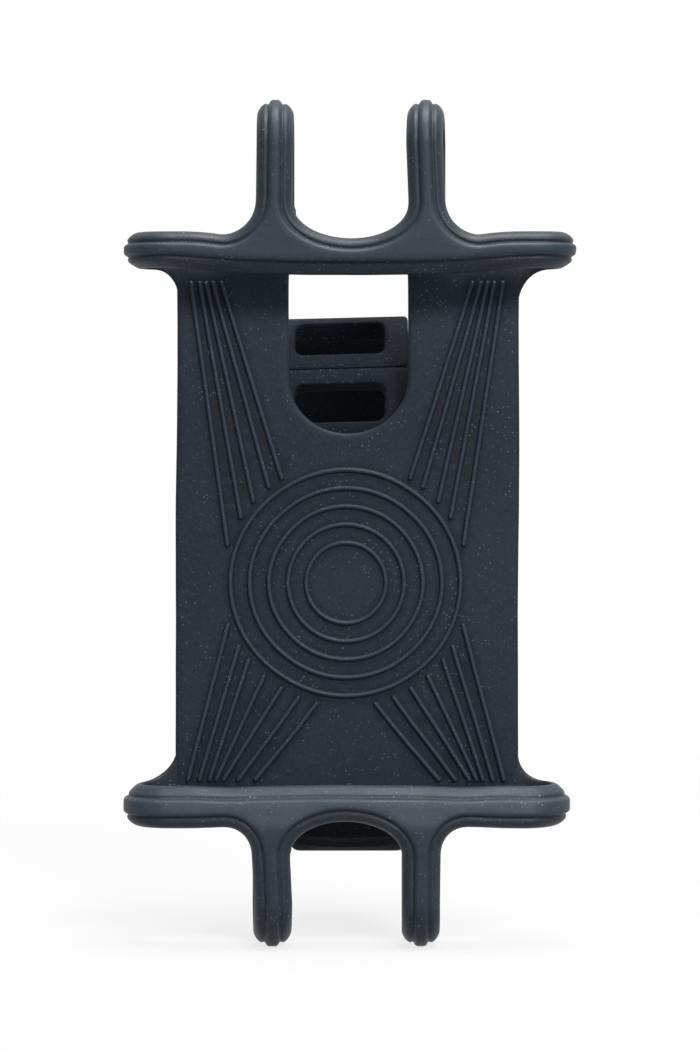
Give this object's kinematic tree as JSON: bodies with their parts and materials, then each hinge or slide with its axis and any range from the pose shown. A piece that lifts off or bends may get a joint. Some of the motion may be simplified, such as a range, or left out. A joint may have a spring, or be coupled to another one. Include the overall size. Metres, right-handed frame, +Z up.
{
  "type": "phone handlebar mount",
  "caption": "Soft silicone phone holder: a flat back plate with stretch corner nets that wrap the phone, and a strap with slots that hooks round a handlebar",
  "frame": {"origin": "middle of the saddle's flat floor, where the handlebar lies", "axes": "+Y out of the saddle towards the handlebar, away from the phone; +Z up along the phone's length; +X to the right as the rider sees it, along the handlebar"},
  "size_m": [0.068, 0.046, 0.1283],
  "materials": {
    "cradle_silicone": "matte",
    "strap_silicone": "matte"
  },
  "bodies": {
    "cradle": {"back_plate": "cradle_silicone", "handlebar_saddle": "cradle_silicone", "strap_hook": "strap_silicone", "strap_anchor": "strap_silicone"},
    "upper_net": {"upper_yoke": "cradle_silicone", "upper_left_loop": "cradle_silicone", "upper_left_band": "cradle_silicone", "upper_left_ear": "cradle_silicone", "upper_right_loop": "cradle_silicone", "upper_right_band": "cradle_silicone", "upper_right_ear": "cradle_silicone"},
    "lower_net": {"lower_yoke": "cradle_silicone", "lower_left_loop": "cradle_silicone", "lower_left_band": "cradle_silicone", "lower_left_ear": "cradle_silicone", "lower_right_loop": "cradle_silicone", "lower_right_band": "cradle_silicone", "lower_right_ear": "cradle_silicone"},
    "strap_lower": {"strap_lower_a": "strap_silicone", "strap_lower_b": "strap_silicone"},
    "strap_under": {"strap_under_a": "strap_silicone", "strap_under_b": "strap_silicone"},
    "strap_rear": {"strap_rear_a": "strap_silicone", "strap_rear_b": "strap_silicone"},
    "strap_over": {"strap_rear_c": "strap_silicone", "strap_rear_d": "strap_silicone", "strap_over_a": "strap_silicone", "strap_over_b": "strap_silicone"},
    "strap_upper": {"strap_upper_a": "strap_silicone", "strap_upper_b": "strap_silicone"},
    "strap_tip": {"strap_end": "strap_silicone"}
  },
  "joints": [
    {"name": "upper_net_stretch", "type": "slide", "parent": "cradle", "child": "upper_net", "axis": [0, 0, 1], "range_m": [0, 0.021], "stiffness_N_per_m": 500, "deforming": ["upper_left_band", "upper_right_band"]},
    {"name": "lower_net_stretch", "type": "slide", "parent": "cradle", "child": "lower_net", "axis": [0, 0, -1], "range_m": [0, 0.021], "stiffness_N_per_m": 500, "deforming": ["lower_left_band", "lower_right_band"]},
    {"name": "strap_bottom_bend", "type": "hinge", "parent": "strap_lower", "child": "strap_under", "pos_m": [0, 0.00873, -0.04124], "axis": [-1, 0, 0], "range_deg": [0, 56], "stiffness_Nm_per_rad": 0.05},
    {"name": "strap_root_bend", "type": "hinge", "parent": "cradle", "child": "strap_lower", "pos_m": [0, -0.00404, -0.02317], "axis": [-1, 0, 0], "range_deg": [0, 14]},
    {"name": "strap_rear_low_bend", "type": "hinge", "parent": "strap_under", "child": "strap_rear", "pos_m": [0, 0.02218, -0.02382], "axis": [-1, 0, 0], "range_deg": [0, 11.2]},
    {"name": "strap_rear_mid_bend", "type": "hinge", "parent": "strap_rear", "child": "strap_over", "pos_m": [0, 0.02462, -0.0006], "axis": [-1, 0, 0], "range_deg": [0, 8.4]},
    {"name": "strap_top_bend", "type": "hinge", "parent": "strap_over", "child": "strap_upper", "pos_m": [0, 0.00873, 0.04004], "axis": [-1, 0, 0], "range_deg": [0, 11.2]},
    {"name": "strap_end_curl", "type": "hinge", "parent": "strap_upper", "child": "strap_tip", "pos_m": [0, -0.00404, 0.02196], "axis": [-1, 0, 0], "range_deg": [-30, 0], "stiffness_Nm_per_rad": 0.01}
  ],
  "couplings": [
    {"joint": "strap_root_bend", "follows": "strap_bottom_bend", "ratio": 0.25},
    {"joint": "strap_rear_low_bend", "follows": "strap_bottom_bend", "ratio": 0.2},
    {"joint": "strap_rear_mid_bend", "follows": "strap_bottom_bend", "ratio": 0.15},
    {"joint": "strap_top_bend", "follows": "strap_bottom_bend", "ratio": 0.2}
  ]
}
